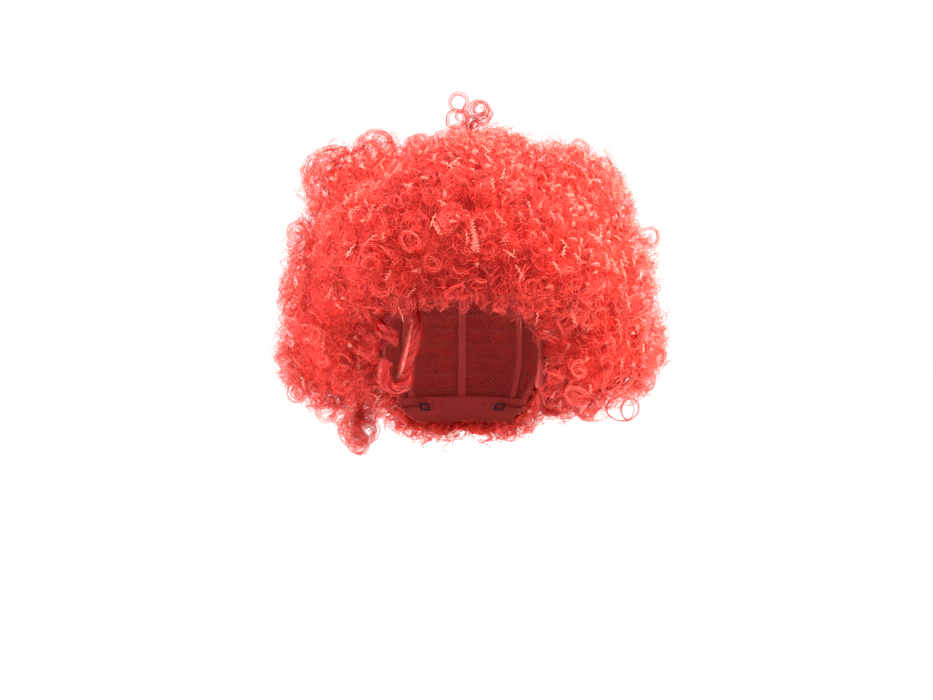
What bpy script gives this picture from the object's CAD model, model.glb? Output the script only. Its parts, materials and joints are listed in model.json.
import json
import math

import bmesh
import bpy
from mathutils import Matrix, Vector, noise
from mathutils.bvhtree import BVHTree

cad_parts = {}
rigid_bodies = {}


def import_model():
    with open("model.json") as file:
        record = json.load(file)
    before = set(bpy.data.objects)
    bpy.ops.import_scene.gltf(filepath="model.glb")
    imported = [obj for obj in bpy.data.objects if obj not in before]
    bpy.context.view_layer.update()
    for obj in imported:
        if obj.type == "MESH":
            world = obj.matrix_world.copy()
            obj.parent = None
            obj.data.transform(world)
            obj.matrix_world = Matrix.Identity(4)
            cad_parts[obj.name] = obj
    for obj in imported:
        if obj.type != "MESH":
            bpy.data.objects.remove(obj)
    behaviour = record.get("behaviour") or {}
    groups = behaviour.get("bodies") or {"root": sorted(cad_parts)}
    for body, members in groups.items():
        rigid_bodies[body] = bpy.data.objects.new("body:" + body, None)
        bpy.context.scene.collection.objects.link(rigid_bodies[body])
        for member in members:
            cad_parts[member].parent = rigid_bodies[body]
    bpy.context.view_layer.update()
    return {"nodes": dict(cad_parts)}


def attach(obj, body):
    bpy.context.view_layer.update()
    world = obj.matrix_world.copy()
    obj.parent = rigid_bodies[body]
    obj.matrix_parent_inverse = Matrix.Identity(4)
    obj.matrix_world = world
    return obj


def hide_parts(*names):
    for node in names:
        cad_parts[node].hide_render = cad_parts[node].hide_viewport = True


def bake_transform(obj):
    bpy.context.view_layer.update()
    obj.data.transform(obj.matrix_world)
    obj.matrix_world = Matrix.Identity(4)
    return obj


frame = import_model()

mm = 0.001
fullTurn = 2 * math.pi
weld = 0.01 * mm  # loose triangles whose corners are nearer than this are one surface


# a wire is a socket of a node, so that nodes can be written as sums
class Wire:
    def __init__(self, web, socket):
        self.web = web
        self.socket = socket

    def other(self, name):
        return Wire(self.web, self.socket.node.outputs[name])

    def __add__(self, other):
        return self.web.maths("ADD", self, other)

    def __radd__(self, other):
        return self.web.maths("ADD", other, self)

    def __sub__(self, other):
        return self.web.maths("SUBTRACT", self, other)

    def __rsub__(self, other):
        return self.web.maths("SUBTRACT", other, self)

    def __mul__(self, other):
        return self.web.maths("MULTIPLY", self, other)

    def __rmul__(self, other):
        return self.web.maths("MULTIPLY", other, self)

    def __truediv__(self, other):
        return self.web.maths("DIVIDE", self, other)

    def __rtruediv__(self, other):
        return self.web.maths("DIVIDE", other, self)

    def __pow__(self, other):
        return self.web.maths("POWER", self, other)

    def __rpow__(self, other):
        return self.web.maths("POWER", other, self)


def isVector(value):
    return value.socket.type == "VECTOR" if isinstance(value, Wire) else hasattr(value, "__len__")


class Web:
    def __init__(self, tree):
        self.tree = tree

    def add(self, kind, settings=None, inputs=None, out=0):
        node = self.tree.nodes.new(kind)
        for name, value in (settings or {}).items():
            setattr(node, name, value)
        for key, value in (inputs or {}).items():
            if isinstance(value, Wire):
                self.tree.links.new(value.socket, node.inputs[key])
            else:
                node.inputs[key].default_value = value
        return Wire(self, node.outputs[out]) if len(node.outputs) else node

    def maths(self, operation, first, second=0.0):
        if not (isVector(first) or isVector(second)):
            return self.add("ShaderNodeMath", {"operation": operation}, {0: first, 1: second})
        if operation == "MULTIPLY" and isVector(first) != isVector(second):
            vector, number = (first, second) if isVector(first) else (second, first)
            return self.vectorMaths("SCALE", {0: vector, "Scale": number})
        return self.vectorMaths(operation, {0: first, 1: second})

    def vectorMaths(self, operation, inputs, out=0):
        return self.add("ShaderNodeVectorMath", {"operation": operation}, inputs, out)

    def vector(self, x, y, z):
        return self.add("ShaderNodeCombineXYZ", inputs={0: x, 1: y, 2: z})

    def ramp(self, value, low, high, newLow, newHigh, smooth=True):
        settings = {"interpolation_type": "SMOOTHSTEP" if smooth else "LINEAR"}
        return self.add("ShaderNodeMapRange", settings, {0: value, 1: low, 2: high, 3: newLow, 4: newHigh})

    def cross(self, first, second):
        return self.vectorMaths("CROSS_PRODUCT", {0: first, 1: second})

    def dot(self, first, second):
        return self.vectorMaths("DOT_PRODUCT", {0: first, 1: second}, "Value")

    def unit(self, vector):
        return self.vectorMaths("NORMALIZE", {0: vector})

    def long(self, vector):
        return self.vectorMaths("LENGTH", {0: vector}, "Value")

    def around(self, first, second, angle):
        return first * self.maths("COSINE", angle) + second * self.maths("SINE", angle)

    def noise(self, place, scale, detail=2.0, out=0):
        inputs = {"Vector": place, "Scale": scale, "Detail": detail}
        return self.add("ShaderNodeTexNoise", inputs=inputs, out=out)

    def wobble(self, place, variety):
        # a smooth random shift, to any side, that differs from strand to strand
        inputs = {"Vector": place, "W": variety, "Scale": 1.0, "Detail": 1.0}
        return self.add("ShaderNodeTexNoise", {"noise_dimensions": "4D"}, inputs, "Color") - (0.5, 0.5, 0.5)

    def mixColours(self, share, first, second):
        return self.add("ShaderNodeMix", {"data_type": "RGBA"}, {"Factor": share, 6: first, 7: second}, out=2)

    def feed(self, wire, node, name):
        self.tree.links.new(wire.socket, node.inputs[name])


socketKinds = {int: "Int", float: "Float", bpy.types.Object: "Object", bpy.types.Material: "Material"}
everyWay = ((-1, -1, -1), (1, 1, 1))


class GeometryWeb(Web):
    def __init__(self, name, sizes):
        super().__init__(bpy.data.node_groups.new(name, "GeometryNodeTree"))
        face = self.tree.interface
        face.new_socket("Geometry", in_out="INPUT", socket_type="NodeSocketGeometry")
        self.ids = {}
        for label, value in sizes.items():
            kind = "NodeSocket" + socketKinds[type(value)]
            self.ids[label] = face.new_socket(label, in_out="INPUT", socket_type=kind).identifier
        face.new_socket("Geometry", in_out="OUTPUT", socket_type="NodeSocketGeometry")
        self.start = self.add("NodeGroupInput")

    def size(self, label):
        return self.start.other(label)

    def named(self, name, kind="FLOAT"):
        return self.add("GeometryNodeInputNamedAttribute", {"data_type": kind}, {"Name": name})

    def namedVector(self, name):
        return self.named(name, "FLOAT_VECTOR")

    def store(self, geometry, name, value, kind=None, domain="POINT"):
        kind = kind or ("FLOAT_VECTOR" if isVector(value) else "FLOAT")
        inputs = {"Geometry": geometry, "Name": name, "Value": value}
        return self.add("GeometryNodeStoreNamedAttribute", {"data_type": kind, "domain": domain}, inputs)

    def chance(self, low, high, seed):
        if isVector(low):
            settings = {"data_type": "FLOAT_VECTOR"}
            return self.add("FunctionNodeRandomValue", settings, {0: low, 1: high, "Seed": seed})
        settings = {"data_type": "FLOAT"}
        return self.add("FunctionNodeRandomValue", settings, {2: low, 3: high, "Seed": seed}, out=1)

    def move(self, geometry, shift):
        return self.add("GeometryNodeSetPosition", inputs={"Geometry": geometry, "Offset": shift})

    def resample(self, curve, length):
        return self.add("GeometryNodeResampleCurve", {"mode": "LENGTH"}, {"Curve": curve, "Length": length})

    def profile(self):
        # three sides are enough for a thread this fine
        inputs = {"Resolution": 3, "Radius": 0.5}
        return self.add("GeometryNodeCurvePrimitiveCircle", {"mode": "RADIUS"}, inputs)

    def tube(self, curve, profile, thickness=1.0):
        inputs = {"Curve": curve, "Profile Curve": profile, "Scale": thickness, "Fill Caps": True}
        return self.add("GeometryNodeCurveToMesh", inputs=inputs)

    def finish(self, geometry, material):
        real = self.add("GeometryNodeRealizeInstances", inputs={0: geometry})
        done = self.add("GeometryNodeSetMaterial", inputs={"Geometry": real, "Material": material})
        self.feed(done, self.tree.nodes.new("NodeGroupOutput"), 0)


def newObject(name, mesh):
    piece = bpy.data.objects.new(name, mesh)
    bpy.context.scene.collection.objects.link(piece)
    return piece


def grow(name, seedMesh, web, sizes):
    # runs a geometry tree on a mesh, and keeps what it makes as a plain mesh
    source = newObject(name + "_seed", seedMesh)
    maker = source.modifiers.new("maker", "NODES")
    maker.node_group = web.tree
    for label, value in sizes.items():
        maker[web.ids[label]] = value
    evaluated = source.evaluated_get(bpy.context.evaluated_depsgraph_get())
    mesh = bpy.data.meshes.new_from_object(evaluated)
    source.modifiers.remove(maker)
    bpy.data.objects.remove(source)
    piece = newObject(name, mesh)
    print(name, len(mesh.polygons), "faces")
    return piece


# the camera looks from straight in front, a little above level
view = {"lens": 50.0, "distance": 1.13, "elevation": 2.0, "aim": (0.004, 0.0, -0.004)}


def setCamera():
    lift = math.radians(view["elevation"])
    camera = bpy.data.objects.new("camera", bpy.data.cameras.new("camera"))
    bpy.context.scene.collection.objects.link(camera)
    aim = Vector(view["aim"])
    camera.location = aim + view["distance"] * Vector((0, -math.cos(lift), math.sin(lift)))
    camera.rotation_euler = (math.pi / 2 - lift, 0, 0)
    camera.data.lens = view["lens"]
    bpy.context.scene.camera = camera


studio = {
    "world": 1.05,
    "key": {"place": (0.85, -0.72, 1.55), "size": 0.2, "power": 74.0, "tint": (1.0, 0.94, 0.84)},
    "fill": {"place": (-1.65, -0.3, 0.25), "size": 0.4, "power": 30.0, "tint": (0.95, 0.97, 1.0)},
    "top": {"place": (0.3, 0.5, 1.7), "size": 0.6, "power": 22.0, "tint": (1.0, 1.0, 1.0)},
}


def setLights():
    scene = bpy.context.scene
    scene.view_settings.view_transform = "Standard"
    world = bpy.data.worlds.new("studio")
    world.use_nodes = True
    world.node_tree.nodes["Background"].inputs["Color"].default_value = (1, 1, 1, 1)
    world.node_tree.nodes["Background"].inputs["Strength"].default_value = studio["world"]
    scene.world = world
    for name in ("key", "fill", "top"):
        facts = studio[name]
        lamp = bpy.data.lights.new(name, "AREA")
        lamp.energy = facts["power"]
        lamp.size = facts["size"]
        lamp.color = facts["tint"]
        light = bpy.data.objects.new(name, lamp)
        scene.collection.objects.link(light)
        light.location = facts["place"]
        light.rotation_euler = (-Vector(facts["place"])).to_track_quat("-Z", "Y").to_euler()


def solid(colour):
    return (*colour, 1)


def newMaterial(name):
    material = bpy.data.materials.new(name)
    material.use_nodes = True
    web = Web(material.node_tree)
    shader = material.node_tree.nodes["Principled BSDF"]
    return material, web, shader


def colourBy(web, shader, look, level):
    # the colour of a surface, from dark to light
    web.feed(web.mixColours(level, solid(look["dark"]), solid(look["light"])), shader, "Base Color")


def emboss(web, shader, height, strength, distance):
    relief = {"Strength": strength, "Distance": distance, "Height": height}
    web.feed(web.add("ShaderNodeBump", inputs=relief), shader, "Normal")


ground = {"height": -0.27, "reach": 6.0, "colour": (0.93, 0.93, 0.93), "roughness": 0.8}


def setFloor():
    floorMesh = bpy.data.meshes.new("floor")
    reach = ground["reach"]
    corners = [(-reach, -reach), (reach, -reach), (reach, reach), (-reach, reach)]
    floorMesh.from_pydata([(x, y, ground["height"]) for x, y in corners], [], [(0, 1, 2, 3)])
    floor = newObject("floor", floorMesh)
    floorPaint, _, shader = newMaterial("floor_paint")
    shader.inputs["Base Color"].default_value = solid(ground["colour"])
    shader.inputs["Roughness"].default_value = ground["roughness"]
    floorMesh.materials.append(floorPaint)


setCamera()
setLights()
setFloor()
print("camera, lights and floor set")


# the coloured fibre: its stops run from deep at the root to the tip, and some strands are pale
fibre = {
    "deep": (0.36, 0.003, 0.003),
    "middle": (0.80, 0.015, 0.010),
    "tip": (1.0, 0.19, 0.13),
    "stops": (0.1, 0.5, 1.0),
    "byPlace": 0.35,  # how far the way along a strand moves its colour
    "byShade": 0.75,  # how far the strand's own shade moves it
    "pale": (1.0, 0.62, 0.54),
    "paleFrom": 0.58,
    "paleEdge": 0.06,
    "paleByShade": (0.1, 0.7, 0.25, 1.0),
    "strands": 190.0,
    "roughness": 0.2,
    "shine": 0.45,
    "shineTint": (1.0, 0.55, 0.50),
    "glow": 0.34,  # light that comes through the fibre
    "glowTint": (1.0, 0.08, 0.055),
    "glowByLevel": (0.2, 0.9, 0.2, 1.0),
}
gloss = dict(
    fibre,
    deep=(0.30, 0.002, 0.003),
    middle=(0.48, 0.005, 0.006),
    tip=(0.66, 0.014, 0.014),
    paleFrom=0.8,
    roughness=0.14,
    shine=0.6,
    shineTint=(1.0, 0.8, 0.8),
    glow=0.0,
)
paleFibre = dict(
    fibre,
    deep=(0.90, 0.12, 0.07),
    middle=(1.0, 0.36, 0.27),
    tip=(1.0, 0.64, 0.54),
    glowTint=(1.0, 0.42, 0.32),
)


def makeFibre(name, look):
    # colour runs from root to tip along v, and each strand has its own shade by u
    material, web, shader = newMaterial(name)
    split = web.add("ShaderNodeSeparateXYZ", inputs={0: web.add("ShaderNodeTexCoord", out="UV")})
    along = split.other("Y")
    level = along * look["byPlace"] + split * look["byShade"]
    stops = web.add("ShaderNodeValToRGB", inputs={0: level})
    ramp = stops.socket.node.color_ramp
    ramp.elements.new(look["stops"][1])
    for stop, place, colour in zip(ramp.elements, look["stops"], ("deep", "middle", "tip")):
        stop.position = place
        stop.color = solid(look[colour])
    strand = {"W": split * look["strands"], "Detail": 0.0}
    strand = web.add("ShaderNodeTexNoise", {"noise_dimensions": "1D"}, strand)
    pale = web.ramp(strand, look["paleFrom"], look["paleFrom"] + look["paleEdge"], 0.0, 1.0) * along
    pale = pale * web.ramp(split, *look["paleByShade"])
    web.feed(web.mixColours(pale, stops, solid(look["pale"])), shader, "Base Color")
    shader.inputs["Roughness"].default_value = look["roughness"]
    shader.inputs["Specular IOR Level"].default_value = look["shine"]
    shader.inputs["Specular Tint"].default_value = solid(look["shineTint"])
    if look["glow"]:
        clear = web.add("ShaderNodeBsdfTranslucent", inputs={"Color": solid(look["glowTint"])}, out="BSDF")
        share = web.ramp(level, *look["glowByLevel"]) * look["glow"]
        parts = {"Fac": share, 1: Wire(web, shader.outputs[0]), 2: clear}
        web.feed(web.add("ShaderNodeMixShader", inputs=parts), web.tree.nodes["Material Output"], "Surface")
    return material


fibreMaterial = makeFibre("red_fibre", fibre)
glossMaterial = makeFibre("gloss_fibre", gloss)
paleMaterial = makeFibre("pale_fibre", paleFibre)


# hair is deep red round the face, and paler where light comes through its outer curls
paling = {
    "from": (0.0, -0.09, -0.01),
    "stretch": (1.25, 1.0, 0.7),
    "near": 0.095,
    "far": 0.22,
    "lean": 0.16,
    "rise": 0.12,
    "underside": 0.6,
}


def palingOf(web, place, low, high):
    away = web.long((place - paling["from"]) * paling["stretch"])
    parts = web.add("ShaderNodeSeparateXYZ", inputs={0: place})
    height = parts.other("Z")
    away = away + parts * paling["lean"] + height * paling["rise"]
    away = away + web.maths("MINIMUM", height, 0.0) * paling["underside"]
    return web.ramp(away, paling["near"], paling["far"], low, high, smooth=False)


dense = {
    "dark": (0.32, 0.004, 0.003),
    "light": (0.92, 0.040, 0.027),
    "patch": 40.0,
    "patchLevel": (0.3, 0.7, 0.0, 0.5),
    "lays": (((1.0, 0.2, 0.4), 100.0), ((0.1, 1.0, -0.5), 140.0)),  # the way across strands, and their bends
    "strand": 190.0,
    "curl": 0.035,
    "strandLevel": 0.55,
    "paling": (-0.3, 0.25),
    "relief": 1.2 * mm,
    "roughness": 0.5,
    "shineTint": (1.0, 0.4, 0.35),
}


def makeDense(name, look):
    # fine curled strands, as lines that two noises bend, over soft light and dark patches
    material, web, shader = newMaterial(name)
    place = web.add("ShaderNodeTexCoord", out="Object")
    level = web.ramp(web.noise(place, look["patch"]), *look["patchLevel"])
    height = 0.0
    for lay, bend in look["lays"]:
        bent = place + (web.noise(place, bend, out="Color") - (0.5, 0.5, 0.5)) * look["curl"]
        line = web.maths("SINE", web.dot(bent, lay) * (look["strand"] * fullTurn)) * 0.5 + 0.5
        height = line * 0.5 + height
    level = height * look["strandLevel"] + level + palingOf(web, place, *look["paling"])
    colourBy(web, shader, look, level)
    emboss(web, shader, height, 1.0, look["relief"])
    shader.inputs["Roughness"].default_value = look["roughness"]
    shader.inputs["Specular Tint"].default_value = solid(look["shineTint"])
    return material


underMaterial = makeDense("dense_fibre", dense)
print("fibre materials made")


def joinedMesh(nodes, name):
    verts = []
    faces = []
    for node in nodes:
        mesh = frame["nodes"][node].data
        base = len(verts)
        verts += [v.co[:] for v in mesh.vertices]
        faces += [[base + i for i in p.vertices] for p in mesh.polygons]
    joined = bpy.data.meshes.new(name)
    joined.from_pydata(verts, [], faces)
    return joined


# hair grows on the outside of its sections, but not on their joins nor on the inside of the cap
sections = sorted(n for n in frame["nodes"] if n.startswith("hair_"))
capNodes = [n for n in frame["nodes"] if n.endswith("_net")]


def treeOfMesh(mesh):
    return BVHTree.FromPolygons([v.co[:] for v in mesh.vertices], [p.vertices[:] for p in mesh.polygons])


def treeOf(node):
    return treeOfMesh(frame["nodes"][node].data)


sectionTrees = {n: treeOf(n) for n in sections}
capTrees = [treeOf(n) for n in capNodes]
join = {"touch": 0.05 * mm, "cap": 4.5 * mm}  # nearer than this a face is a join, or lies on the cap


def growingMesh(node):
    # a copy of a section, with a number on each face that says whether curls grow there
    mesh = frame["nodes"][node].data.copy()
    grows = mesh.attributes.new("grows", "FLOAT", "FACE")
    others = [tree for name, tree in sectionTrees.items() if name != node]
    values = []
    for face in mesh.polygons:
        middle = face.center
        joined = any(tree.find_nearest(middle, join["touch"])[0] for tree in others)
        inside = any(tree.find_nearest(middle, join["cap"])[0] for tree in capTrees)
        values.append(0.0 if joined or inside else 1.0)
    grows.data.foreach_set("value", values)
    return mesh


# the underlayer: the dense hair that the loose curls stand out of
underlayer = {
    "voxel": 4.0 * mm,
    "least": 8.0 * mm,  # how deep it lies below the outside
    "share": 0.17,  # or this share of the hair's thickness, where that is more
    "lumps": 13.0 * mm,
    "lumpHeight": 4.0 * mm,
    "finer": 2.3,
    "finerShare": 0.5,
    "smoothing": 14,
    "inner": 8.0 * mm,  # hair nearer to the cap than this keeps its shape
    "clearance": 0.8,
}


def makeUnderlayer(cap):
    mesh = joinedMesh(sections, "under_hair")
    piece = newObject("under_hair", mesh)
    mesh.remesh_voxel_size = underlayer["voxel"]
    bpy.context.view_layer.objects.active = piece
    bpy.ops.object.voxel_remesh()
    capTree = treeOfMesh(cap.data)
    shell = bmesh.new()
    shell.from_mesh(mesh)
    near = {v: capTree.find_nearest(v.co)[3] for v in shell.verts}
    outer = [v for v in shell.verts if near[v] > underlayer["inner"]]
    halfWay = {"factor": 0.5, "use_axis_x": True, "use_axis_y": True, "use_axis_z": True}
    for _ in range(underlayer["smoothing"]):
        bmesh.ops.smooth_vert(shell, verts=outer, **halfWay)
    shell.normal_update()
    shifts = {}
    for vertex in outer:
        place = vertex.co / underlayer["lumps"]
        lump = noise.noise(place) + underlayer["finerShare"] * noise.noise(place * underlayer["finer"])
        depth = max(underlayer["least"], underlayer["share"] * near[vertex])
        depth = min(depth, near[vertex] - underlayer["inner"] * underlayer["clearance"])
        shifts[vertex] = vertex.normal * (lump * underlayer["lumpHeight"] - depth)
    for vertex, shift in shifts.items():
        vertex.co += shift
    shell.to_mesh(mesh)
    shell.free()
    mesh.polygons.foreach_set("use_smooth", [True] * len(mesh.polygons))
    mesh.materials.append(underMaterial)
    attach(piece, "cap")
    print("under_hair", len(mesh.polygons), "faces")


# grown curls: large ringlets, short frizz between them, and pale glinting strands on the lit side
ringlets = {
    "Spacing": 19.0 * mm,
    "Fibres": 7,
    "Thickness": 0.46 * mm,
    "Steps": 28,
    "Depth": 20.0 * mm,
    "Least coil": 4.0 * mm,
    "Most coil": 9.0 * mm,
    "Rise per turn": 12.0 * mm,
    "Spread": 24.0 * mm,
    "Droop": 4.0 * mm,
    "Looseness": 1.1 * mm,
    "Frizz": 0.45 * mm,
    "Seed": 3,
}
frizz = {
    "Spacing": 6.3 * mm,
    "Fibres": 3,
    "Thickness": 0.4 * mm,
    "Steps": 8,
    "Depth": 10.0 * mm,
    "Least coil": 2.0 * mm,
    "Most coil": 6.0 * mm,
    "Rise per turn": 15.0 * mm,
    "Spread": 17.0 * mm,
    "Droop": 1.5 * mm,
    "Looseness": 4.0 * mm,
    "Frizz": 1.3 * mm,
    "Seed": 7,
}
glints = {
    "Spacing": 7.5 * mm,
    "Fibres": 2,
    "Thickness": 0.6 * mm,
    "Steps": 12,
    "Depth": 2.0 * mm,
    "Least coil": 0.8 * mm,
    "Most coil": 1.8 * mm,
    "Rise per turn": 3.2 * mm,
    "Spread": 16.0 * mm,
    "Droop": 5.0 * mm,
    "Looseness": 1.2 * mm,
    "Frizz": 0.5 * mm,
    "Seed": 21,
}
# proportions that all grown curls share
curl = {
    "density": 40000.0,
    "deepest": 0.9,  # a root lies at most this share of the way to the cap
    "bendRise": 0.8,
    "bendLean": 0.1,
    "tipLean": 0.6,
    "tipRise": (-1.0, 0.25),  # in the widest coil's radius
    "tone": (0.0, 0.4),
    "paling": (0.0, 0.6),
    "toneShare": 0.75,
    "shade": (0.0, 0.25),
    "coilSpread": (0.8, 1.2),
    "phaseSpread": (-0.5, 0.5),
    "tipStray": 1.6,
    "opening": (0.0, 0.45, 0.15, 1.0),  # a coil widens from its root
    "taper": (0.6, 1.0, 1.0, 0.45),
    "wobbleScale": 140.0,
    "wobbleVariety": 9.0,
}


def fibreTubes(web, strands, thickness):
    # a three-sided tube on each strand, with the strand's shade and the way along it as its flat map
    profile = web.store(web.profile(), "around", web.add("GeometryNodeSplineParameter"))
    tubes = web.tube(strands, profile, thickness)
    tubes = web.add("GeometryNodeSetShadeSmooth", inputs={"Geometry": tubes, "Shade Smooth": True})
    flatMap = web.vector(web.named("shade") * 0.96 + web.named("around") * 0.03, web.named("along"), 0.0)
    return web.store(tubes, "OFBake", flatMap, "FLOAT2", "CORNER")


def curlTree(cap, material):
    sizes = dict(ringlets, Cap=cap, Material=material)
    web = GeometryWeb("curls", sizes)
    size = web.size
    seed = size("Seed")
    spread = {
        "Mesh": size("Geometry"),
        "Distance Min": size("Spacing"),
        "Density Max": curl["density"],
        "Density Factor": web.named("grows"),
        "Seed": seed,
    }
    points = web.add("GeometryNodeDistributePointsOnFaces", {"distribute_method": "POISSON"}, spread)
    capInfo = web.add("GeometryNodeObjectInfo", inputs={"Object": size("Cap")}).other("Geometry")
    here = web.add("GeometryNodeInputPosition")
    toCap = {"Geometry": capInfo, "Sample Position": here}
    nearest = web.add("GeometryNodeProximity", {"target_element": "FACES"}, toCap)
    outwards = web.unit(here - nearest)
    depth = web.maths("MINIMUM", size("Depth"), nearest.other("Distance") * curl["deepest"])
    sideways = web.chance(*everyWay, seed + 11)
    lean = (sideways - outwards * web.dot(sideways, outwards)) * size("Spread")
    root = here - outwards * depth
    bend = root + outwards * (depth * curl["bendRise"]) + lean * curl["bendLean"]
    rise = web.chance(*curl["tipRise"], seed + 12) * size("Most coil")
    tip = here + lean * curl["tipLean"] + outwards * rise - web.vector(0, 0, size("Droop"))
    tone = web.chance(*curl["tone"], seed + 15) + palingOf(web, here, *curl["paling"])
    plan = {
        "root": root,
        "bend": bend,
        "tip": tip,
        "coil": web.chance(size("Least coil"), size("Most coil"), seed + 13),
        "phase": web.chance(0.0, fullTurn, seed + 14),
        "length": depth + size("Spread") * curl["tipLean"],
        "tone": tone,
    }
    for name, value in plan.items():
        points = web.store(points, name, value)
    # each curl is many fibres that stray a little from one another
    copies = {"Geometry": points, "Amount": size("Fibres")}
    many = web.add("GeometryNodeDuplicateElements", {"domain": "POINT"}, copies)
    stray = web.chance(*everyWay, seed + 21) * size("Looseness")
    strayTip = web.chance(*everyWay, seed + 22) * (size("Looseness") * curl["tipStray"])
    many = web.store(many, "root", web.namedVector("root") + stray)
    many = web.store(many, "bend", web.namedVector("bend") + stray)
    many = web.store(many, "tip", web.namedVector("tip") + strayTip)
    many = web.store(many, "coil", web.named("coil") * web.chance(*curl["coilSpread"], seed + 23))
    many = web.store(many, "phase", web.named("phase") + web.chance(*curl["phaseSpread"], seed + 24))
    shade = web.named("tone") * curl["toneShare"] + web.chance(*curl["shade"], seed + 25)
    many = web.store(many, "shade", shade)
    # a straight line for each fibre, bent from root to tip and then wound round its own axis
    line = web.add("GeometryNodeCurvePrimitiveLine")
    line = web.add("GeometryNodeResampleCurve", {"mode": "COUNT"}, {"Curve": line, "Count": size("Steps")})
    strands = web.add("GeometryNodeInstanceOnPoints", inputs={"Points": many, "Instance": line})
    strands = web.add("GeometryNodeRealizeInstances", inputs={0: strands})
    along = web.add("GeometryNodeSplineParameter")
    back = 1.0 - along
    axis = (
        web.namedVector("root") * (back * back)
        + web.namedVector("bend") * (back * along * 2.0)
        + web.namedVector("tip") * (along * along)
    )
    strands = web.store(strands, "along", along)
    strands = web.add("GeometryNodeSetPosition", inputs={"Geometry": strands, "Position": axis})
    tangent = web.add("GeometryNodeInputTangent")
    normal = web.add("GeometryNodeInputNormal")
    strands = web.store(strands, "side", normal)
    strands = web.store(strands, "across", web.cross(tangent, normal))
    turns = web.named("length") / size("Rise per turn")
    angle = web.named("phase") + along * turns * fullTurn
    width = web.named("coil") * web.ramp(along, *curl["opening"])
    coiled = web.around(web.namedVector("side"), web.namedVector("across"), angle)
    wobble = web.wobble(here * curl["wobbleScale"], web.named("shade") * curl["wobbleVariety"])
    shift = coiled * width + wobble * (size("Frizz") * 2.0)
    strands = web.move(strands, shift)
    tubes = fibreTubes(web, strands, size("Thickness") * web.ramp(along, *curl["taper"]))
    web.finish(tubes, size("Material"))
    return web, sizes


lit = {"least": 0.12, "falloff": 1.5}


def litMesh(field):
    # the same growing field, thinned where the hair turns away from the key light
    mesh = field.copy()
    towards = Vector(studio["key"]["place"]).normalized()
    grows = mesh.attributes["grows"].data
    for face in mesh.polygons:
        facing = max(0.0, face.normal.dot(towards))
        grows[face.index].value *= lit["least"] + (1 - lit["least"]) * facing ** lit["falloff"]
    return mesh


def hairPiece(piece, body, replaced=()):
    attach(piece, body)
    if replaced:
        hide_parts(*replaced)


seedStep = 40  # so that no two sections grow alike


def growCurls(cap):
    web, sizes = curlTree(cap, fibreMaterial)
    for number, node in enumerate(sections):
        field = growingMesh(node)
        for kind, plan in (("ringlets", ringlets), ("frizz", frizz)):
            plan = dict(sizes, **dict(plan, Seed=plan["Seed"] + number * seedStep))
            hairPiece(grow(f"{node}_{kind}", field.copy(), web, plan), "cap", [node])
        plan = dict(sizes, **dict(glints, Seed=glints["Seed"] + number * seedStep, Material=paleMaterial))
        hairPiece(grow(f"{node}_glints", litMesh(field), web, plan), "cap")


capShape = newObject("cap_shape", joinedMesh(capNodes, "cap_shape"))
makeUnderlayer(capShape)
growCurls(capShape)
bpy.data.objects.remove(capShape)
print("grown curls done")


def smoothPath(points, steps=6):
    # a smooth path through points given in millimetres
    places = [Vector(p) * mm for p in points]
    ends = [places[0] * 2 - places[1], *places, places[-1] * 2 - places[-2]]
    path = []
    for before, start, end, after in zip(ends, ends[1:], ends[2:], ends[3:]):
        for step in range(steps):
            t = step / steps
            square = (2 * before - 5 * start + 4 * end - after) * t * t
            cube = (3 * start - before - 3 * end + after) * t**3
            path.append(0.5 * (2 * start + (end - before) * t + (square + cube)))
    return path + [places[-1]]


degreesPerPoint = 40


def ring(centre, radius, start, sweep, drift=0.0, closing=0.0):
    # points round a ring that faces forwards, from an angle above +X, anticlockwise as seen from the front
    x, y, z = centre
    count = max(3, round(abs(sweep) / degreesPerPoint))
    points = []
    for n in range(count + 1):
        share = n / count
        angle = math.radians(start + sweep * share)
        size = radius * (1 - closing * share)
        points.append((x + size * math.cos(angle), y + drift * share, z + size * math.sin(angle)))
    return points


def pathMesh(name, paths):
    verts = []
    edges = []
    for path in paths:
        base = len(verts)
        verts += [tuple(p) for p in smoothPath(path)]
        edges += [(i, i + 1) for i in range(base, len(verts) - 1)]
    mesh = bpy.data.meshes.new(name)
    mesh.from_pydata(verts, edges, [])
    return mesh


# hand-laid curls: a bundle of fibres along each path, as it is where a piece says nothing else
plainBundle = {
    "Fibres": 9,
    "Width": 1.6 * mm,
    "Thickness": 0.30 * mm,
    "Step": 1.6 * mm,
    "Frizz": 0.8 * mm,
    "Twist": 0.0,
    "Crimp": 0.0,
    "Gather": 0.35,
    "Palest": 1.0,
    "Seed": 1,
}
# proportions that all bundles share
bundled = {
    "reach": (0.05, 1.0),
    "gathered": 0.25,  # the first part of the way is narrower
    "taper": (0.75, 1.0, 1.0, 0.4),
    "crimpPitch": 2.6 * mm,
    "wobbleScale": 150.0,
    "wobbleVariety": 7.0,
}


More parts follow.
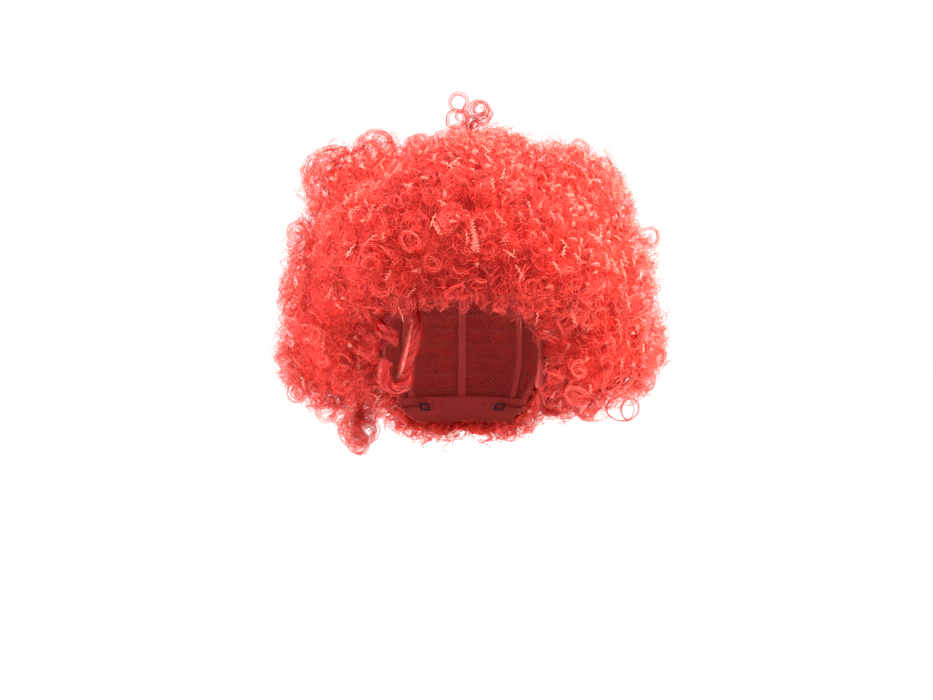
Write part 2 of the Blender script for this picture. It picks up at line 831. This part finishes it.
def bundleTree(material):
    sizes = dict(plainBundle, Material=material)
    web = GeometryWeb("bundle", sizes)
    size = web.size
    seed = size("Seed")
    line = web.add("GeometryNodeMeshToCurve", inputs={"Mesh": size("Geometry")})
    line = web.resample(line, size("Step"))
    copies = {"Geometry": line, "Amount": size("Fibres")}
    many = web.add("GeometryNodeDuplicateElements", {"domain": "SPLINE"}, copies)
    many = web.store(many, "shade", web.chance(0.0, size("Palest"), seed), domain="CURVE")
    many = web.store(many, "phase", web.chance(0.0, fullTurn, seed + 1), domain="CURVE")
    many = web.store(many, "reach", web.chance(*bundled["reach"], seed + 2) ** 0.5, domain="CURVE")
    along = web.add("GeometryNodeSplineParameter")
    many = web.store(many, "along", along)
    normal = web.add("GeometryNodeInputNormal")
    across = web.cross(web.add("GeometryNodeInputTangent"), normal)
    angle = web.named("phase") + along * size("Twist") * fullTurn
    opening = web.ramp(along, 0.0, bundled["gathered"], size("Gather"), 1.0)
    width = size("Width") * web.named("reach") * opening
    here = web.add("GeometryNodeInputPosition")
    wobble = web.wobble(here * bundled["wobbleScale"], web.named("shade") * bundled["wobbleVariety"])
    wave = along.other("Length") * (fullTurn / bundled["crimpPitch"]) + web.named("shade")
    crimp = across * (web.maths("SINE", wave) * size("Crimp"))
    shift = web.around(normal, across, angle) * width + wobble * (size("Frizz") * 2.0) + crimp
    many = web.move(many, shift)
    tubes = fibreTubes(web, many, size("Thickness") * web.ramp(along, *bundled["taper"]))
    web.finish(tubes, size("Material"))
    return web, sizes


bundles = bundleTree(fibreMaterial)


def bundle(name, body, paths, material, changes, replaced=()):
    web, sizes = bundles
    sizes = dict(sizes, Material=material, **changes)
    hairPiece(grow(name, pathMesh(name, paths), web, sizes), body, replaced)


# the forelock: a glossy ringlet that falls and hooks up again, a pale glint on it and hairs that stray
forelockPath = [(-38, -80, 42), (-39, -88, 34), (-38, -90, 27.5), (-36, -92, 14), (-39, -92, 3)]
forelockPath += [(-43.8, -91, -12)] + ring((-53.5, -90, -22.5), 8.8, 0, -180)
forelockPath += [(-62, -90, -15), (-59, -89, -10)]
forelockSizes = {
    "Fibres": 90,
    "Width": 4.8 * mm,
    "Thickness": 0.7 * mm,
    "Twist": 2.5,
    "Frizz": 0.35 * mm,
    "Gather": 0.8,
}
glintPath = [(-40, -97, 19), (-42.5, -98, 8), (-44.5, -98, -4), (-48, -97, -16), (-51, -96, -23)]
glintSizes = {
    "Fibres": 4,
    "Width": 1.0 * mm,
    "Thickness": 0.24 * mm,
    "Crimp": 0.7 * mm,
    "Step": 0.5 * mm,
    "Frizz": 0.8 * mm,
}
straySizes = {"Fibres": 9, "Width": 7.0 * mm, "Twist": 3.0, "Frizz": 1.6 * mm, "Palest": 0.4}
bundle("forelock_ringlet", "forelock", [forelockPath], glossMaterial, forelockSizes, ["forelock"])
bundle("forelock_glint", "forelock", [glintPath], paleMaterial, glintSizes)
bundle("forelock_flyaway", "forelock", [forelockPath], fibreMaterial, straySizes)

# the loose rings at the crown
crownPaths = [
    [(9, -1, 178), (8, 0, 190), (3, -2, 200)] + ring((-3, -3, 210.5), 8.0, -50, 400, 6.0, 0.1),
    [(10, 1, 178), (8, 0, 190), (12, 3, 198)] + ring((14.5, 5, 205), 8.5, 230, -480, -8.0, 0.5),
    [(4, 0, 178), (-2, 0, 187), (-12, -3, 190)] + ring((-5, -4, 196), 8.0, 200, -330, 6.0, 0.1),
    [(8, 0, 180), (4, 2, 188)] + ring((9, 5, 194), 5.5, 180, 400, -6.0, 0.2),
    [(9, 0, 180), (8, -1, 192), (20, -4, 198)] + ring((16, -6, 204), 7.0, -30, 500, 8.0, 0.6),
    [(8, 0, 180), (9, 0, 192), (22, 4, 196), (26, 0, 202), (20, -5, 209)],
    [(6, 0, 180), (4, 3, 190)] + ring((0, 6, 199), 6.0, -90, 420, -7.0, 0.4),
    [(10, 0, 180), (14, -3, 189)] + ring((18, -5, 196), 5.5, -120, 420, 7.0, 0.3),
]
crownSizes = {"Fibres": 10, "Width": 1.7 * mm, "Frizz": 1.4 * mm}
bundle("crown_ringlet", "crown_lock", crownPaths, fibreMaterial, crownSizes, ["crown_lock"])

# the single open ring below the left side
leftPath = [(139, 2, -32), (142, 2, -42), (136, 2, -45), (128, 2, -50), (127, 2, -59), (135, 2, -65.5)]
leftPath += [(146, 3, -65.5), (154, 4, -60), (154.5, 4, -51), (148, 4, -46.5), (141, 3, -51), (140, 2, -60)]
leftPath += [(146, 3, -66), (151, 3, -57), (148, 3, -48)]
leftSizes = {"Fibres": 10, "Width": 0.9 * mm, "Frizz": 0.5 * mm}
bundle("side_ringlet_left", "side_lock_left", [leftPath], fibreMaterial, leftSizes, ["side_lock_left"])

# the tuft below the right side, as rings: centre, radius, where each starts and how far it turns
rightRings = [
    ((-101, 14, -72), 8.5, 70, 460),
    ((-83, 2, -74), 9.5, 110, -520),
    ((-92, 10, -86), 8.5, 90, 560),
    ((-96, 4, -78), 11.0, 60, 300),
    ((-87, 8, -80), 10.0, 150, -340),
    ((-94, 6, -68), 9.0, 0, 300),
    ((-84, 6, -66), 7.0, 200, -400),
    ((-93, 2, -79), 6.0, 40, 500),
    ((-90, 12, -82), 5.0, 120, -460),
    ((-98, 8, -70), 6.5, 0, 420),
    ((-89, 6, -90), 5.5, 80, 420),
    ((-80, 4, -62), 5.5, 60, -420),
]
rightPaths = [
    [(-88, 8, -46), (-90, 8, -58)] + ring((x, y - 4, z), radius, start, sweep, 9.0, 0.35)
    for (x, y, z), radius, start, sweep in rightRings
]
rightSizes = {"Fibres": 20, "Width": 3.6 * mm, "Frizz": 2.8 * mm, "Palest": 0.75}
bundle("side_ringlet_right", "side_lock_right", rightPaths, fibreMaterial, rightSizes, ["side_lock_right"])
print("forelock and locks done")

frontMost = -0.4  # a place further forward than any hair


def frontOf(x, z, depth=0.0):
    # how far forward the hair is at a place seen from the front, in millimetres, less a depth
    start = Vector((x * mm, frontMost, z * mm))
    hits = [tree.ray_cast(start, Vector((0, 1, 0)))[0] for tree in sectionTrees.values()]
    front = min((hit.y for hit in hits if hit), default=0.0)
    return front / mm + depth


rooting = {"root": 0.9, "halfWay": 0.96, "halfDepth": 0.45}


def rooted(centre, points, depth=22.0):
    # a curl that starts deeper in the hair, behind its own middle
    x, y, z = centre
    root, halfWay = rooting["root"], rooting["halfWay"]
    start = (x * root, y + depth, z * root)
    return [start, (x * halfWay, y + depth * rooting["halfDepth"], z * halfWay), *points]


# curls that stand out of the outline: centre, radius, start, sweep and drift, then one open wave
outlineRings = [
    ((-112, -6, 156), 17.0, 20, 200, 8),
    ((-118, -2, 150), 20.0, 60, 170, -6),
    ((-122, 2, 140), 16.0, 100, 200, 6),
    ((-76, 2, 171), 17.0, -10, 230, 5),
    ((-70, 4, 177), 8.0, 0, 420, 4),
    ((-86, 0, 172), 7.0, 90, 400, -4),
    ((-37, 0, 175), 8.5, -20, 420, 4),
    ((101, 0, 171), 8.0, -20, 250, 5),
    ((163, 0, 95), 9.0, -90, 230, 4),
    ((167, 0, 2), 9.5, -160, 560, 6),
    ((168, 2, -9), 8.0, 120, -520, 6),
    ((160, 0, -31), 8.0, 150, -500, 5),
    ((-144, 0, 99), 7.0, -20, 300, 4),
    ((-152, 2, -14), 8.0, 20, 420, 6),
    ((-144, 0, -42), 8.0, 40, 460, 6),
    ((-118, 0, -58), 8.5, 30, 540, 7),
    ((-104, -14, -60), 8.0, 60, 480, 6),
    ((107, -8, -53), 10.0, 160, 620, 12),
    ((94, -4, -54), 8.0, 100, 500, 8),
    ((-2, 6, 183), 9.0, 0, 300, 4),
    ((-112, -4, 148), 12.0, 40, 500, 8),
    ((-120, 4, 157), 9.0, 0, 460, 6),
    ((-102, 0, 158), 9.0, 90, -480, 6),
    ((-125, 0, 143), 9.0, 120, 420, -5),
    ((-79, 0, 167), 10.0, 30, 460, 6),
    ((-66, 4, 171), 8.0, 0, -420, 5),
    ((-88, 4, 163), 9.0, 60, 480, -5),
    ((-42, 4, 172), 8.0, 60, 460, 5),
    ((-106, 2, 140), 10.0, 200, 420, 6),
    ((112, 4, 152), 9.0, 20, 440, 5),
]
openWave = [(106, 6, 140), (111, 0, 152), (116, -2, 160), (124, -2, 161), (133, 0, 152), (129, 0, 162)]
openWave += [(125, 2, 172)]
outlinePaths = [rooted(facts[0], ring(*facts, 0.2)) for facts in outlineRings] + [openWave]
outlineSizes = {"Fibres": 13, "Width": 2.8 * mm, "Frizz": 1.8 * mm, "Seed": 31}
bundle("outline_curls", "cap", outlinePaths, fibreMaterial, outlineSizes)

# rings of curl on the front: x, z, radius, start, sweep and how far they drift forwards
frontRings = [
    (11, 48, 8.0, 200, 430, 3.0),
    (55, 49, 10.0, -30, 330, 6.0),
    (99, 50, 11.0, 90, 400, 7.0),
    (84, 20, 8.0, 60, 360, 6.0),
    (120, -2, 9.0, 30, 420, 7.0),
    (96, -38, 9.0, 150, 500, 8.0),
    (-26, 45, 8.0, 160, 380, 4.0),
    (-62, 52, 9.0, 70, 400, 6.0),
    (-76, 10, 8.0, 100, 460, 7.0),
    (-98, -30, 9.0, 0, 460, 8.0),
    (-118, 44, 9.0, 80, 330, 6.0),
    (54, 116, 11.0, 60, 300, 6.0),
]
frontPaths = []
for x, z, radius, start, sweep, drift in frontRings:
    centre = (x, frontOf(x, z, 1.0), z)
    frontPaths.append(rooted(centre, ring(centre, radius, start, sweep, -drift, 0.5), 14.0))
frontSizes = {"Fibres": 12, "Width": 3.8 * mm, "Frizz": 2.0 * mm, "Palest": 0.5, "Seed": 57}
bundle("front_rings", "cap", frontPaths, fibreMaterial, frontSizes)

winding = {"pointsPerTurn": 8, "first": 0.4, "opening": 3}


def coil(top, bottom, radius, turns, swell=1.0):
    # points down a ringlet, wound round the line between two places
    start, end = Vector(top), Vector(bottom)
    first = winding["first"]
    count = round(turns * winding["pointsPerTurn"])
    points = []
    for n in range(count + 1):
        share = n / count
        turn = fullTurn * turns * share
        opened = first + (1 - first) * min(1.0, share * winding["opening"])
        size = radius * opened * (1 + (swell - 1) * share)
        points.append(tuple(start.lerp(end, share) + Vector((math.cos(turn), math.sin(turn), 0)) * size))
    return points


# ringlets that hang beside the face, two of them glossy, and a dark roll below the left ear
templePaths = [
    coil((-68, -72, 46), (-73, -84, -2), 5.0, 3.5, 1.2),
    coil((-77, -66, 40), (-80, -80, -14), 5.5, 3.5, 1.2),
    coil((-62, -84, 50), (-60, -94, 30), 4.5, 2.0),
    coil((66, -70, 44), (70, -84, 6), 5.0, 3.0, 1.2),
    coil((74, -60, 20), (76, -74, -30), 5.5, 3.5, 1.2),
]
templeSizes = {"Fibres": 20, "Width": 3.6 * mm, "Frizz": 1.2 * mm, "Palest": 0.3, "Seed": 71}
bundle("temple_ringlets", "cap", templePaths, fibreMaterial, templeSizes)
cheekPaths = [
    coil((-57, -86, 32), (-62, -92, -2), 5.5, 1.6, 1.2),
    coil((-66, -84, 22), (-56, -92, 4), 4.5, 1.2),
]
cheekSizes = {
    "Fibres": 46,
    "Width": 3.4 * mm,
    "Thickness": 0.5 * mm,
    "Twist": 2.0,
    "Frizz": 0.4 * mm,
    "Seed": 79,
}
bundle("temple_gloss", "cap", cheekPaths, glossMaterial, cheekSizes)
rollPath = [(74, -10, -40), (71, -14, -54), (78, -18, -57), (86, -16, -55)]
rollSizes = dict(cheekSizes, Fibres=50, Width=4.2 * mm, Seed=83)
bundle("ear_roll", "cap", [rollPath], glossMaterial, rollSizes)

wispRow = {"count": 22, "first": -52, "step": 5.6, "lean": 6, "hairline": 47, "uneven": 3}


def wisp(number):
    # one short loose hair over the forehead
    x = wispRow["first"] + number * wispRow["step"]
    lean = wispRow["lean"] * math.sin(number * 2.3)
    top = wispRow["hairline"] + wispRow["uneven"] * math.cos(number * 1.7)
    y = frontOf(x, top + 6, 6.0)
    return [
        (x, y + 6, top + 5),
        (x + lean * 0.3, y - 3, top - 3),
        (x + lean, y - 3, top - 10),
        (x + lean * 0.4, y, top - 14),
        (x - lean * 0.3, y + 2, top - 9),
    ]


wisps = [wisp(number) for number in range(wispRow["count"])]
wispSizes = {
    "Fibres": 5,
    "Width": 3.0 * mm,
    "Thickness": 0.24 * mm,
    "Frizz": 2.2 * mm,
    "Palest": 0.5,
    "Seed": 91,
}
bundle("forehead_wisps", "cap", wisps, fibreMaterial, wispSizes)

# a pale crimped strand above the forehead
crimped = [(x, frontOf(x, z, -0.5), z) for x, z in ((8, 102), (9, 94), (11, 85), (13, 76))]
crimpedSizes = {
    "Fibres": 6,
    "Width": 1.6 * mm,
    "Thickness": 0.26 * mm,
    "Crimp": 1.9 * mm,
    "Step": 0.5 * mm,
    "Seed": 97,
}
bundle("pale_strand", "cap", [crimped], paleMaterial, crimpedSizes)
print("hand-laid curls done")


# the cloth of the cap
woven = {
    "tape": {"dark": (0.24, 0.012, 0.012), "light": (0.5, 0.04, 0.035), "pitch": 0.9 * mm, "roughness": 0.75},
    "net": {"dark": (0.34, 0.015, 0.014), "light": (0.62, 0.05, 0.045), "pitch": 0.6 * mm, "roughness": 0.6},
    "elastic": {"dark": (0.2, 0.01, 0.01), "light": (0.45, 0.035, 0.03), "pitch": 0.7 * mm, "roughness": 0.7},
    "weft": {"dark": (0.3, 0.008, 0.008), "light": (0.72, 0.03, 0.022), "pitch": 0.5 * mm, "roughness": 0.45},
}
weave = {
    "threads": 0.5,
    "fuzz": 0.4,
    "patches": 0.35,
    "offset": -0.1,
    "fuzzScale": 900.0,
    "patchScale": 40.0,
    "relief": 0.25 * mm,
    "reliefFuzz": 0.5,
    "strength": 0.7,
}
head = {"halfWidth": 76.0 * mm, "halfDepth": 95.0 * mm, "halfHeight": 100.0 * mm}


def makeWoven(name, look):
    # threads over and under, laid round and up the head
    material, web, shader = newMaterial(name)
    place = web.add("ShaderNodeTexCoord", out="Object")
    parts = web.add("ShaderNodeSeparateXYZ", inputs={0: place})
    girth = web.maths("ARCTAN2", parts, parts.other("Y")) * head["halfDepth"]
    turn = fullTurn / look["pitch"]
    threads = web.maths("SINE", girth * turn) * web.maths("SINE", parts.other("Z") * turn) * 0.5 + 0.5
    fuzz = web.noise(place, weave["fuzzScale"])
    patches = web.noise(place, weave["patchScale"])
    level = threads * weave["threads"] + fuzz * weave["fuzz"] + patches * weave["patches"] + weave["offset"]
    colourBy(web, shader, look, level)
    emboss(web, shader, threads + fuzz * weave["reliefFuzz"], weave["strength"], weave["relief"])
    shader.inputs["Roughness"].default_value = look["roughness"]
    return material


plastic = {
    "dark": (0.012, 0.012, 0.014),
    "light": (0.035, 0.035, 0.04),
    "stretch": (900.0, 900.0, 900.0),
    "smooth": 0.18,
    "rough": 0.34,
    "metal": 0.0,
}
steel = {
    "dark": (0.42, 0.42, 0.44),
    "light": (0.66, 0.66, 0.68),
    "stretch": (1500.0, 1500.0, 90.0),
    "smooth": 0.25,
    "rough": 0.45,
    "metal": 1.0,
}
grainRelief = {"strength": 0.25, "distance": 0.05 * mm}


def makeHard(name, look):
    # moulded plastic or brushed metal: a fine grain in its roughness and its surface
    material, web, shader = newMaterial(name)
    place = web.add("ShaderNodeTexCoord", out="Object")
    grain = web.noise(place * web.vector(*look["stretch"]), 1.0, 3.0)
    colourBy(web, shader, look, grain)
    web.feed(web.ramp(grain, 0.3, 0.7, look["smooth"], look["rough"]), shader, "Roughness")
    emboss(web, shader, grain, **grainRelief)
    shader.inputs["Metallic"].default_value = look["metal"]
    return material


cloth = {name: makeWoven(name + "_cloth", look) for name, look in woven.items()}
plasticMaterial = makeHard("hook_plastic", plastic)
steelMaterial = makeHard("stay_steel", steel)
print("cap materials made")


# the nets of stretch thread: diamond lattices over the head form
netPlan = {"layer": 1.15 * mm, "step": 2.1 * mm, "Wide": 1.2 * mm, "Deep": 0.45 * mm, "inside": 0.5 * mm}
netCuts = {
    "crown_net": {"flat": (0.082, 0.108), "area": 0.0069},
    "front_net": {"flat": (0.130, 0.075), "area": 0.0070},
    "left_net": {"flat": (0.115, 0.175), "area": 0.0110},
    "back_net": {"flat": (0.150, 0.185), "area": 0.0225},
    "right_net": {"flat": (0.115, 0.175), "area": 0.0110},
}


def onHead(direction, layer):
    # where a direction meets the head form grown by a layer, and the way out of it there
    halves = [head[k] + layer for k in ("halfWidth", "halfDepth", "halfHeight")]
    size = sum((d / h) ** 2 for d, h in zip(direction, halves)) ** -0.5
    place = direction * size
    out = Vector([p / h**2 for p, h in zip(place, halves)]).normalized()
    return place, out


# the five ways that the lattice faces, each with the way to its right
facings = [
    ((0, -1, 0), (1, 0, 0)),
    ((0, 1, 0), (-1, 0, 0)),
    ((1, 0, 0), (0, 1, 0)),
    ((-1, 0, 0), (0, -1, 0)),
    ((0, 0, 1), (1, 0, 0)),
]


def latticeMesh(tree, plan):
    # a diamond lattice over the head form, kept where it lies in one panel of net
    reach = math.pi / 4
    count = int(2 * reach * head["halfDepth"] / plan["step"] / 2) * 2
    verts, outs, edges = [], [], []
    for facing, right in facings:
        facing, right = Vector(facing), Vector(right)
        up = facing.cross(right) * -1.0
        found = {}
        for i in range(count + 1):
            for j in range(i % 2, count + 1, 2):
                a = math.tan(reach * (2 * i / count - 1))
                b = math.tan(reach * (2 * j / count - 1))
                place, out = onHead((facing + right * a + up * b).normalized(), plan["layer"])
                if tree.find_nearest(place, plan["inside"])[0]:
                    found[i, j] = len(verts)
                    verts.append(tuple(place))
                    outs.append(tuple(out))
        for (i, j), here in found.items():
            for sideways in (-1, 1):
                there = found.get((i + 1, j + sideways))
                if there is not None:
                    edges.append((here, there))
    mesh = bpy.data.meshes.new("lattice")
    mesh.from_pydata(verts, edges, [])
    way = mesh.attributes.new("way", "FLOAT_VECTOR", "POINT")
    way.data.foreach_set("vector", [c for out in outs for c in out])
    return mesh


def netTree(material):
    sizes = {"Wide": netPlan["Wide"], "Deep": netPlan["Deep"], "Material": material}
    web = GeometryWeb("net", sizes)
    size = web.size
    loose = web.add("GeometryNodeSplitEdges", inputs={"Mesh": size("Geometry")})
    line = web.add("GeometryNodeMeshToCurve", inputs={"Mesh": loose})
    outwards = {"Curve": line, "Normal": web.namedVector("way")}
    line = web.add("GeometryNodeSetCurveNormal", {"mode": "FREE"}, outwards)
    scale = web.vector(size("Deep"), size("Wide"), 1.0)
    profile = web.add("GeometryNodeTransform", inputs={"Geometry": web.profile(), "Scale": scale})
    web.finish(web.tube(line, profile), size("Material"))
    return web, sizes


def makeNets():
    web, sizes = netTree(cloth["net"])
    for node, cut in netCuts.items():
        piece = grow(node + "_lattice", latticeMesh(treeOf(node), netPlan), web, sizes)
        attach(piece, "cap")
        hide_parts(node)
    print("nets done")


# thread whipped round the sharp edges on the inner side of a piece of cloth
overlock = {"Radius": 0.75 * mm, "Thread": 0.36 * mm, "Pitch": 2.0 * mm, "Sharp": math.radians(60)}
seamPlan = {"pointsPerPitch": 6.0, "inside": 1.0035}  # the inner side lies within this, in head forms


def seamTree(material):
    sizes = dict(overlock, Material=material)
    web = GeometryWeb("seam", sizes)
    size = web.size
    welded = web.add("GeometryNodeMergeByDistance", inputs={"Geometry": size("Geometry"), "Distance": weld})
    place = web.add("GeometryNodeInputPosition")
    halves = (head["halfWidth"], head["halfDepth"], head["halfHeight"])
    inner = web.maths("LESS_THAN", web.long(place / halves), seamPlan["inside"])
    sharp = web.maths("GREATER_THAN", web.add("GeometryNodeInputMeshEdgeAngle"), size("Sharp"))
    rim = web.add("GeometryNodeMeshToCurve", inputs={"Mesh": welded, "Selection": inner * sharp})
    rim = web.resample(rim, size("Pitch") / seamPlan["pointsPerPitch"])
    turn = web.add("GeometryNodeSplineParameter").other("Length") * fullTurn / size("Pitch")
    normal = web.add("GeometryNodeInputNormal")
    across = web.cross(web.add("GeometryNodeInputTangent"), normal)
    rim = web.move(rim, web.around(normal, across, turn) * size("Radius"))
    web.finish(web.tube(rim, web.profile(), size("Thread")), size("Material"))
    return web, sizes


stitching = seamTree(cloth["weft"])


def sew(node, body):
    web, sizes = stitching
    seam = grow(node + "_stitch", frame["nodes"][node].data.copy(), web, sizes)
    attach(seam, body)


rounding = {"cap": 0.22 * mm, "tab": 0.3 * mm, "strap": 0.2 * mm, "sharp": math.radians(50)}


def clothOf(node, name, material, width):
    # a piece of cloth with rounded edges, in the place of a plain solid
    piece = newObject(name, frame["nodes"][node].data.copy())
    piece.data.materials.clear()
    piece.data.materials.append(material)
    piece.data.polygons.foreach_set("material_index", [0] * len(piece.data.polygons))
    welded = bmesh.new()
    welded.from_mesh(piece.data)
    bmesh.ops.remove_doubles(welded, verts=welded.verts, dist=weld)
    welded.to_mesh(piece.data)
    welded.free()
    bevel = piece.modifiers.new("edges", "BEVEL")
    bevel.width = width
    bevel.segments = 1
    bevel.limit_method = "ANGLE"
    bevel.angle_limit = rounding["sharp"]
    mesh = bpy.data.meshes.new_from_object(piece.evaluated_get(bpy.context.evaluated_depsgraph_get()))
    piece.modifiers.remove(bevel)
    piece.data = mesh
    return piece


# the tapes, bands, patches and wefts of the cap
clothPieces = {
    "tape": ["forehead_band", "ear_band_left", "ear_band_right", "nape_band", "crown_ring", "crown_patch"]
    + sorted(n for n in frame["nodes"] if n.startswith("tape_"))
    + ["strap_patch_left", "strap_patch_right", "hook_loops_left", "hook_loops_right"],
    "weft": sorted(n for n in frame["nodes"] if n.startswith("weft_")),
}
fabricCuts = {
    "nape_band": {"flat": (0.022, 0.190), "area": 0.0041},
    "crown_patch": {"flat": (0.030, 0.030), "area": 0.0007},
}


def makeCapCloth():
    for slotName, nodes in clothPieces.items():
        for node in nodes:
            piece = clothOf(node, node + "_cloth", cloth[slotName], rounding["cap"])
            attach(piece, "cap")
            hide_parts(node)
            node in fabricCuts
            if slotName == "tape" and "patch" not in node and "loops" not in node:
                sew(node, "cap")
        print(slotName, "pieces done")


def makeEarTab(side):
    node = f"ear_tab_{side}"
    tab = clothOf(node, node + "_cloth", cloth["tape"], rounding["tab"])
    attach(tab, node)
    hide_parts(node)
    sew(node, node)


def makeStrap(side):
    # elastic that stretches from the cap, at its outer end, to its hook
    node = f"adjuster_strap_{side}"
    strap = clothOf(node, node + "_elastic", cloth["elastic"], rounding["strap"])
    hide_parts(node)
    ends = sorted((v.co for v in strap.data.vertices), key=lambda c: abs(c.x))
    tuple(ends[-1])
    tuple(ends[0])
    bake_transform(strap)


def paint(node, material):
    # a CAD piece that stays as it is
    mesh = frame["nodes"][node].data
    mesh.materials.clear()
    mesh.materials.append(material)


makeNets()
makeCapCloth()
for side in ("left", "right"):
    makeEarTab(side)
    makeStrap(side)
    paint(f"adjuster_hook_{side}", plasticMaterial)
    paint(f"ear_tab_stay_{side}", steelMaterial)
print("cap done")
